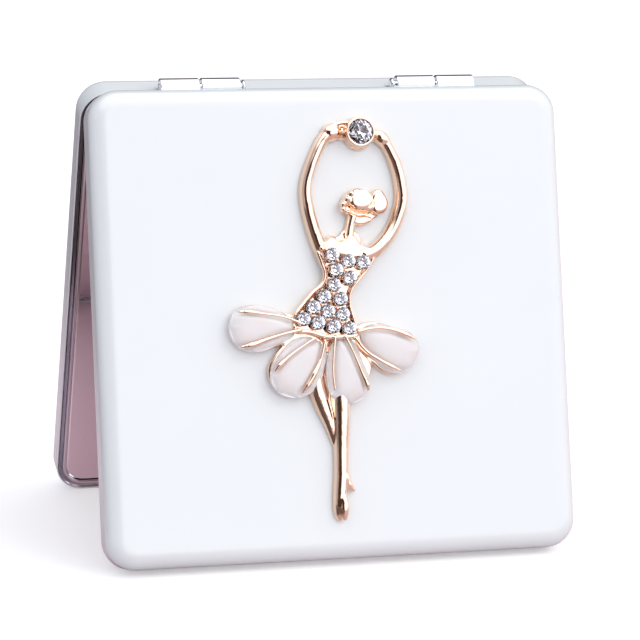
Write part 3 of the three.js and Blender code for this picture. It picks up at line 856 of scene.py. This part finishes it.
# Each petal: its outline, its gold ribs from root to tip with half widths, and the cup that backs it.
PETALS = {
    "left": {
        "outline": [(-6.5, 0.1), (-8.8, 1.8), (-11.4, 2.6), (-14.2, 2.1), (-15.4, -0.3), (-14.6, -2.6),
                    (-12.4, -3.7), (-8.8, -2.8), (-6.4, -1.3)],
        "ribs": [[(-5.8, -0.1, 0.21), (-8.2, 0.85, 0.17), (-10.8, 1.3, 0.18), (-13.0, 1.65, 0.31),
                  (-14.3, 1.7, 0.13)],
                 [(-5.8, -1.0, 0.26), (-8.4, -1.5, 0.18), (-10.6, -2.1, 0.26), (-12.6, -2.75, 0.42),
                  (-14.2, -3.0, 0.13)]],
        "cup": [(-5.8, 0.4), (-8.8, 1.7), (-11.4, 2.4), (-14.0, 1.9), (-15.1, -0.3), (-14.4, -2.4),
                (-12.2, -3.6), (-8.6, -3.0), (-5.8, -1.9)],
    },
    "lower_left": {
        "outline": [(-3.3, -2.5), (-5.6, -1.9), (-8.8, -4.2), (-10.1, -6.8), (-9.3, -9.0), (-6.6, -10.0),
                    (-4.0, -8.8), (-2.7, -6.2), (-2.5, -3.4)],
        "ribs": [[(-3.8, -2.1, 0.23), (-5.4, -3.0, 0.17), (-7.4, -4.3, 0.21), (-9.0, -5.6, 0.34),
                  (-9.7, -6.4, 0.13)],
                 [(-2.6, -2.4, 0.23), (-3.3, -4.9, 0.21), (-4.3, -6.9, 0.42), (-5.3, -8.4, 0.36),
                  (-6.1, -9.4, 0.13)]],
        "cup": [(-3.0, -2.0), (-5.5, -0.9), (-7.3, -2.2), (-9.6, -4.6), (-10.3, -6.6), (-9.2, -8.8),
                (-6.6, -9.8), (-4.0, -8.9), (-2.4, -6.2), (-2.3, -3.2)],
    },
    "lower_middle": {
        "outline": [(-0.8, -2.4), (-2.1, -4.6), (-2.4, -7.6), (-1.7, -10.1), (0.5, -11.0), (2.8, -10.1),
                    (3.5, -8.3), (2.7, -5.6), (0.9, -2.4)],
        "ribs": [[(-1.2, -2.0, 0.23), (-1.5, -4.2, 0.17), (-1.7, -6.8, 0.17), (-1.55, -9.2, 0.16)],
                 [(0.2, -2.0, 0.21), (1.3, -4.4, 0.18), (2.2, -6.8, 0.26), (2.9, -8.6, 0.39),
                  (3.1, -9.4, 0.13)]],
        "cup": [(-1.0, -2.0), (-2.0, -4.6), (-2.3, -7.6), (-1.6, -9.9), (0.5, -10.8), (2.7, -10.0),
                (3.2, -8.8), (3.9, -6.9), (4.0, -5.8), (3.0, -4.2), (1.0, -2.0)],
    },
    "right": {
        "outline": [(2.7, -1.4), (4.4, -0.4), (7.2, -1.1), (10.0, -2.4), (10.6, -4.4), (9.3, -6.6),
                    (6.7, -7.2), (4.3, -5.4), (2.7, -2.9)],
        "ribs": [[(1.9, -1.5, 0.26), (4.2, -1.1, 0.2), (6.6, -1.35, 0.26), (8.6, -2.1, 0.36),
                  (10.0, -2.8, 0.13)],
                 [(1.5, -2.2, 0.26), (3.0, -4.1, 0.21), (5.0, -5.5, 0.26), (6.6, -6.4, 0.31),
                  (7.8, -7.0, 0.13)]],
        "cup": [(1.8, -1.2), (4.2, -0.2), (7.2, -1.0), (9.8, -2.4), (10.3, -4.4), (9.0, -6.5), (6.6, -7.4),
                (4.2, -5.9), (1.6, -2.6)],
    },
}
PETAL_BASE = 0.8
PETAL_RISE = 1.55
# A petal's height at its edge and its rise from there to the middle, as shares of the full height.
PETAL_EDGE, DOME_RISE = 0.42, 0.58
DOME_REACH = 2.6  # from the edge to where the dome is level
CREASE_WIDTH = 0.45
CUP_TOP = 1.1
RIB_HEIGHT = 2.25
FOOT = BACK - 0.4  # plates start here, and are then cut flat at the back
NEAR_STONES = 2.6  # middles of stones that lie next to each other are closer than this
HAND_STONE_RADIUS = 1.66
# Heights of a stone's table, girdle and lowest point.
HAND_CUT = (2.5, 1.95, 1.3)
BODICE_CUT = (2.42, 2.06, 1.62)
FLAP = [(-2.6, -2.4), (-3.4, -5.6), (-3.4, -8.6), (-2.4, -10.0), (-1.7, -10.1), (-1.5, -7.5), (-1.4, -4.0),
        (-1.6, -2.4)]


def make_head():
    """Hair with a wavy fringe and curls at its left, a plain face below it, and a bun."""
    return [
        plate(HAIR, FOOT, 1.75, 0.6),
        ball(*HAIR_DOME),
        plate(HEAD_BASE, FOOT, 0.45, 0.2),
        plate(FACE, FOOT, 1.2, 0.35),
        plate(BUN, FOOT, 1.6, 0.6),
    ] + [ball(x, y, 1.2, radius, radius, 0.8) for x, y, radius in CURLS]


def bead_places():
    """The middle of each three stones that lie next to each other, where a bead of metal holds them."""
    for trio in itertools.combinations([Vector(stone) for stone in BODICE_STONES], 3):
        if all((a - b).length < NEAR_STONES for a, b in itertools.combinations(trio, 2)):
            yield sum(trio, Vector((0, 0))) / 3


def make_casting():
    """The whole rose-gold casting, flat at its back."""
    parts = [
        plate(BODICE, FOOT, 1.1, 0.3),
        plate(CHEST, FOOT, 1.7, 0.5),
        plate(SHOULDER, FOOT, 0.9, 0.3),
        plate(FLAP, FOOT, 0.5, 0.2),
        bar(LEFT_ARM, 1.55, 0.3),
        bar(RIGHT_ARM, 1.55, 0.3),
        ball(*LEFT_PALM),
        ball(*RIGHT_PALM),
        bar(LEFT_FINGERS, 1.3, 1.1),
        *(bar(hand_link, 0.55, 0.2) for hand_link in HAND_LINKS),
        bar(NECK, 1.4, 0.4),
        bar(WAIST_RIM, 1.1, 1.8),
        bar(BODICE_LEFT, 1.9, 1.2),
        bar(BODICE_RIGHT, 1.9, 1.2),
        ball(*STRAP_BEAD),
        bar(STANDING_LEG, 1.25, 0.3),
        bar(HEEL, 1.3, 0.4),
        ball(*SLIPPER),
        bar(CROSSED_LEG, 1.2, 0.3),
        plate(LEG_WEB, FOOT, 0.8, 0.2),
        cup(*HAND_STONE, 2.1, 1.98, 2.1, 0.3),
        ball(*HAND_BOSS),
    ]
    parts += make_head()
    for petal in PETALS.values():
        parts.append(plate(petal["cup"], FOOT, CUP_TOP, 0.3))
        parts += [bar(rib, 1.2, RIB_HEIGHT) for rib in petal["ribs"]]
    parts += [ball(x, y, 1.3, 0.22, 0.22, 0.75) for x, y in bead_places()]
    obj = melt(parts, bpy.context.scene.mirror_figure.detail, 5)
    smooth(obj, 60)
    return obj


def distance_to(points, line, closed):
    """Distance from each of many points to a line of points, as a numpy array."""
    line = np.array(line, float)[:, :2]
    ends = np.roll(line, -1, axis=0) if closed else line[1:]
    starts = line if closed else line[:-1]
    nearest = np.full(len(points), np.inf)
    for start, end in zip(starts, ends):
        along = end - start
        share = np.clip((points - start) @ along / (along @ along), 0, 1)
        nearest = np.minimum(nearest, np.linalg.norm(points - start - share[:, None] * along, axis=1))
    return nearest


def make_petal_form(petal):
    """A milky petal: a soft dome with a fold under each rib."""
    figure = bpy.context.scene.mirror_figure
    obj = plate(petal["outline"], PETAL_BASE, PETAL_BASE + PETAL_RISE, 0.25)
    apply_modifier(obj, "REMESH", mode="VOXEL", voxel_size=figure.petal_detail)
    apply_modifier(obj, "SMOOTH", factor=0.5, iterations=4)
    mesh = obj.data
    places = np.empty(len(mesh.vertices) * 3)
    mesh.vertices.foreach_get("co", places)
    places = places.reshape(-1, 3)
    flat = places[:, :2]
    edge_share = np.clip(distance_to(flat, petal["outline"], True) / DOME_REACH, 0, 1)
    dome = PETAL_EDGE + DOME_RISE * np.sqrt(1 - (1 - edge_share) ** 2)
    for rib in petal["ribs"]:
        apart = distance_to(flat, rib, False)
        dome -= figure.crease / PETAL_RISE * np.exp(-(apart / CREASE_WIDTH) ** 2)
    places[:, 2] = PETAL_BASE + (places[:, 2] - PETAL_BASE) * dome
    mesh.vertices.foreach_set("co", places.ravel())
    mesh.update()
    apply_modifier(obj, "SMOOTH", factor=0.5, iterations=2)
    smooth(obj, 60)
    return obj


def make_stone(radius, top, girdle, culet):
    """A cut stone at the origin: an eight-sided brilliant, whose lower faces set_stone later foils."""
    rings = [
        (8, 0.6, top, 0.0),
        (8, 0.88, girdle + (top - girdle) * 0.5, 22.5),
        (16, 1.0, girdle + 0.03, 0.0),
        (16, 1.0, girdle - 0.03, 0.0),
        (8, 0.5, girdle + (culet - girdle) * 0.6, 22.5),
        (8, 0.04, culet, 0.0),
    ]
    sides, share, height, _ = rings[0]
    bpy.ops.mesh.primitive_circle_add(vertices=sides, radius=radius * share, location=(0, 0, height))
    obj = bpy.context.object
    apply_transform()
    edit(obj, "VERT")
    for sides, share, height, turn in rings[1:]:
        bpy.ops.mesh.primitive_circle_add(
            vertices=sides, radius=radius * share, location=(0, 0, height),
            rotation=(0, 0, math.radians(turn)))
    bpy.ops.mesh.select_all(action="SELECT")
    bpy.ops.mesh.convex_hull()
    bpy.ops.mesh.select_all(action="SELECT")
    bpy.ops.mesh.dissolve_limited(angle_limit=math.radians(0.5))
    bpy.ops.mesh.select_all(action="SELECT")
    bpy.ops.mesh.normals_make_consistent(inside=False)
    leave_edit()
    return obj


def foil_lower_faces(obj, place):
    """The faces that look into the cover get the second finish."""
    outward = (place.to_3x3() @ Vector((0, 0, 1))).normalized()
    for face in obj.data.polygons:
        face.material_index = int(face.normal.dot(outward) < -0.2)


def set_stone(stone, name, x, y, stands_for):
    """A copy of a stone, with its own mesh, in its place on the figure."""
    obj = bpy.data.objects.new(name, stone.data.copy())
    bpy.context.scene.collection.objects.link(obj)
    place = FIGURE @ Matrix.Translation(Vector((x, y, 0)) * MM)
    settle(obj, name, place, "front_half", ["Cut Stone", "Stone Foil"], stands_for)
    foil_lower_faces(obj, FIGURE)


# ---- the stage ----------------------------------------------------------------------------------
def place_camera():
    stage = bpy.context.scene.mirror_stage
    across, depth = math.sin(stage.azimuth), -math.cos(stage.azimuth)
    level = math.cos(stage.elevation)
    outward = Vector((across * level, depth * level, math.sin(stage.elevation)))
    bpy.ops.object.camera_add(location=Vector(stage.aim) + outward * stage.distance)
    camera = bpy.context.object
    upright = outward.to_track_quat("Z", "Y").to_matrix().to_4x4()
    roll = Matrix.Rotation(stage.roll, 4, "Z")
    camera.matrix_world = Matrix.Translation(camera.location) @ upright @ roll
    camera.data.lens = stage.lens
    camera.data.sensor_width = 36
    camera.data.clip_start = 0.01
    bpy.context.scene.camera = camera


FILL_CEILING = (1.30, 1.34, 1.38)
SEEN_CEILING = (1.75, 1.82, 1.92)
BACK_RISE = 0.3  # how much higher the dark wall stands at the back

# Colours of the room's walls, by angle from the front in degrees, with the right side positive: first as
# polished metal reflects them, then as they light the covers.
SEEN_WALLS = [
    (-180, (0.12, 0.10, 0.11)), (-140, (0.14, 0.12, 0.13)), (-110, (0.34, 0.33, 0.38)),
    (-70, (0.36, 0.33, 0.36)),
    (-63, (0.05, 0.03, 0.02)), (-15, (0.04, 0.02, 0.015)), (-8, (1.15, 1.20, 1.32)), (75, (1.15, 1.20, 1.32)),
    (105, (0.62, 0.58, 0.6)), (140, (0.14, 0.12, 0.13)), (180, (0.12, 0.10, 0.11))]
FILL_WALLS = [
    (-180, (0.70, 0.73, 0.80)), (-130, (0.10, 0.15, 0.24)), (-105, (0.10, 0.15, 0.22)),
    (-90, (0.35, 0.44, 0.55)),
    (-70, (1.30, 1.38, 1.48)), (-40, (1.38, 1.42, 1.46)), (-10, (1.45, 1.46, 1.46)), (75, (1.50, 1.50, 1.49)),
    (105, (1.1, 1.08, 1.1)), (180, (0.70, 0.73, 0.80))]


def light_room():
    """A white room with a grey side at the left and a dark screen beside the camera."""
    world = bpy.data.worlds.new("Studio")
    bpy.context.scene.world = world
    world.use_nodes = True
    tree = world.node_tree
    tree.nodes.clear()
    way = add_node(tree, "SeparateXYZ")
    link(tree, add_node(tree, "TexCoord").outputs["Generated"], way.inputs[0])
    turn = calculate(tree, "ARCTAN2", way.outputs["X"], calculate(tree, "MULTIPLY", way.outputs["Y"], -1))
    share = ramp(tree, turn, -math.pi, math.pi)
    path = add_node(tree, "LightPath")
    walls = []
    for stops in (FILL_WALLS, SEEN_WALLS):
        colours = add_node(tree, "ValToRGB")
        link(tree, share, colours.inputs["Fac"])
        fill_ramp(colours.color_ramp, stops)
        walls.append(colours.outputs["Color"])
    back = calculate(tree, "MULTIPLY", calculate(tree, "MAXIMUM", way.outputs["Y"], 0.0), BACK_RISE)
    ceiling = ramp(tree, calculate(tree, "SUBTRACT", way.outputs["Z"], back), 0.62, 0.8)
    seen_by_metal = path.outputs["Is Glossy Ray"]
    side = blend(tree, seen_by_metal, *walls)
    colour = blend(tree, ceiling, side, blend(tree, seen_by_metal, FILL_CEILING, SEEN_CEILING))
    stage = bpy.context.scene.mirror_stage
    sparkle = calculate(tree, "MULTIPLY", seen_by_metal, stage.sparkle)
    strength = calculate(tree, "ADD", sparkle, stage.brightness)
    room = add_node(tree, "Background")
    link(tree, strength, room.inputs["Strength"])
    link(tree, colour, room.inputs["Color"])
    seen = add_node(tree, "Background")
    seen.inputs["Color"].default_value = (1, 1, 1, 1)
    choose = add_node(tree, "MixShader")
    link(tree, path.outputs["Is Camera Ray"], choose.inputs[0])
    link(tree, room.outputs[0], choose.inputs[1])
    link(tree, seen.outputs[0], choose.inputs[2])
    link(tree, choose.outputs[0], add_node(tree, "OutputWorld").inputs["Surface"])


def fill_ramp(color_ramp, stops):
    """Colour stops at compass angles from the front, in degrees, with the right positive."""
    for index, (degrees, colour) in enumerate(stops):
        position = (degrees + 180) / 360
        element = color_ramp.elements[index] if index < 2 else color_ramp.elements.new(position)
        element.position = position
        element.color = (*colour, 1)


def add_lamp(name, location, size, power):
    """A soft square lamp that faces the mirror."""
    aim = Vector(bpy.context.scene.mirror_stage.aim)
    bpy.ops.object.light_add(type="AREA", location=location)
    lamp = bpy.context.object
    lamp.name = name
    lamp.rotation_euler = (Vector(location) - aim).to_track_quat("Z", "Y").to_euler()
    lamp.data.shape = "SQUARE"
    lamp.data.size = size
    lamp.data.energy = power
    lamp.visible_camera = False


# ---- operators ----------------------------------------------------------------------------------
class MIRROR_OT_covers(bpy.types.Operator):
    """Makes the two white lacquered covers"""

    bl_idname = "pocket_mirror.covers"
    bl_label = "Covers"

    def execute(self, context):
        for side, place in HALVES.items():
            settle(make_cover(side), f"{side}_cover_shell", place, f"{side}_half",
                   ["White Lacquer"], f"{side}_cover")
        return {"FINISHED"}


class MIRROR_OT_trays(bpy.types.Operator):
    """Makes the two bright trays with their hinge knuckles"""

    bl_idname = "pocket_mirror.trays"
    bl_label = "Trays and knuckles"

    def execute(self, context):
        for side, place in HALVES.items():
            settle(make_tray(side), f"{side}_tray_rim", place, f"{side}_half",
                   ["Bright Plate"], f"{side}_tray")
        return {"FINISHED"}


class MIRROR_OT_mirrors(bpy.types.Operator):
    """Makes the two mirrors with their ground edges"""

    bl_idname = "pocket_mirror.mirrors"
    bl_label = "Mirrors"

    def execute(self, context):
        for side, place in HALVES.items():
            settle(make_mirror_plate(), f"{side}_mirror_glass", place, f"{side}_half",
                   ["Silvered Glass"], f"{side}_mirror")
        return {"FINISHED"}


class MIRROR_OT_pins(bpy.types.Operator):
    """Makes the two hinge pins"""

    bl_idname = "pocket_mirror.pins"
    bl_label = "Hinge pins"

    def execute(self, context):
        for side in ("left", "right"):
            settle(make_pin(side), f"{side}_pin", FRONT_TILT, "front_half", ["Bright Plate"],
                   f"hinge_pin_{side}")
        return {"FINISHED"}


class MIRROR_OT_linings(bpy.types.Operator):
    """Gives the foam pads and magnets behind the mirrors their finishes"""

    bl_idname = "pocket_mirror.linings"
    bl_label = "Pads and magnets"

    def execute(self, context):
        for side in HALVES:
            finishes = {
                "backing_pad": "Foam Tape", "magnet_left": "Nickel Disc", "magnet_right": "Nickel Disc"}
            for part, finish in finishes.items():
                node = frame["nodes"][f"{side}_{part}"]
                for slot in node.material_slots:
                    slot.material = finish_named(finish)
        return {"FINISHED"}


class MIRROR_OT_casting(bpy.types.Operator):
    """Makes the rose-gold ballerina"""

    bl_idname = "pocket_mirror.casting"
    bl_label = "Ballerina casting"

    def execute(self, context):
        settle(make_casting(), "ballerina_figure", FIGURE, "front_half", ["Rose Gold Plate"],
               "ballerina_casting")
        return {"FINISHED"}


class MIRROR_OT_petals(bpy.types.Operator):
    """Makes the four milky petals of the tutu"""

    bl_idname = "pocket_mirror.petals"
    bl_label = "Petals"

    def execute(self, context):
        for side, petal in PETALS.items():
            settle(make_petal_form(petal), f"petal_{side}", FIGURE, "front_half",
                   ["Milky Petal"], f"tutu_petal_{side}")
        return {"FINISHED"}


class MIRROR_OT_stones(bpy.types.Operator):
    """Cuts one hand stone and one bodice stone, and sets the bodice stone in each of its places"""

    bl_idname = "pocket_mirror.stones"
    bl_label = "Stones"

    def execute(self, context):
        hand = make_stone(HAND_STONE_RADIUS, *HAND_CUT)
        set_stone(hand, "hand_stone", *HAND_STONE, "hand_crystal")
        small = make_stone(context.scene.mirror_figure.stone_radius, *BODICE_CUT)
        for number, (x, y) in enumerate(BODICE_STONES, 1):
            set_stone(small, f"bodice_stone_{number:02d}", x, y, f"bodice_crystal_{number:02d}")
        for pattern in (hand, small):
            bpy.data.objects.remove(pattern)
        return {"FINISHED"}


class MIRROR_OT_stage(bpy.types.Operator):
    """Sets up the camera, the table, the lamp and the room"""

    bl_idname = "pocket_mirror.stage"
    bl_label = "Stage"

    def execute(self, context):
        place_camera()
        light_room()
        add_lamp("Key", (0.35, -0.45, 0.55), 0.3, context.scene.mirror_stage.key_power)
        bpy.ops.mesh.primitive_circle_add(vertices=96, radius=4, fill_type="NGON", location=(0, 0, 0))
        table = bpy.context.object
        table.name = "table"
        table.data.materials.append(finish_named("Painted Table"))
        context.scene.view_settings.view_transform = "Standard"
        return {"FINISHED"}


class MIRROR_PT_panel(bpy.types.Panel):
    """Lists the steps in the order in which they are run"""

    bl_idname = "MIRROR_PT_panel"
    bl_label = "Pocket Mirror"
    bl_space_type = "VIEW_3D"
    bl_region_type = "UI"
    bl_category = "Pocket Mirror"

    def draw(self, context):
        for operator in OPERATORS:
            self.layout.operator(operator.bl_idname)
        for settings in SETTINGS:
            group = getattr(context.scene, settings)
            for name in group.bl_rna.properties.keys():
                if name not in ("rna_type", "name"):
                    self.layout.prop(group, name)


OPERATORS = (
    MIRROR_OT_stage, MIRROR_OT_covers, MIRROR_OT_trays, MIRROR_OT_mirrors, MIRROR_OT_pins, MIRROR_OT_linings,
    MIRROR_OT_casting, MIRROR_OT_petals, MIRROR_OT_stones)
SETTINGS = {"mirror_case": CaseSettings, "mirror_figure": FigureSettings, "mirror_stage": StageSettings}


def register():
    for settings in SETTINGS.values():
        bpy.utils.register_class(settings)
    for name, settings in SETTINGS.items():
        setattr(bpy.types.Scene, name, PointerProperty(type=settings))
    for operator in OPERATORS:
        bpy.utils.register_class(operator)
    bpy.utils.register_class(MIRROR_PT_panel)


def unregister():
    bpy.utils.unregister_class(MIRROR_PT_panel)
    for operator in reversed(OPERATORS):
        bpy.utils.unregister_class(operator)
    for name, settings in SETTINGS.items():
        delattr(bpy.types.Scene, name)
        bpy.utils.unregister_class(settings)


def main():
    register()
    make_haze_group()
    make_hairline_group()
    make_ripple_group()
    ops = bpy.ops.pocket_mirror
    ops.stage()
    ops.covers()
    ops.trays()
    ops.mirrors()
    ops.pins()
    ops.linings()
    ops.casting()
    ops.petals()
    ops.stones()


if __name__ == "__main__":
    main()
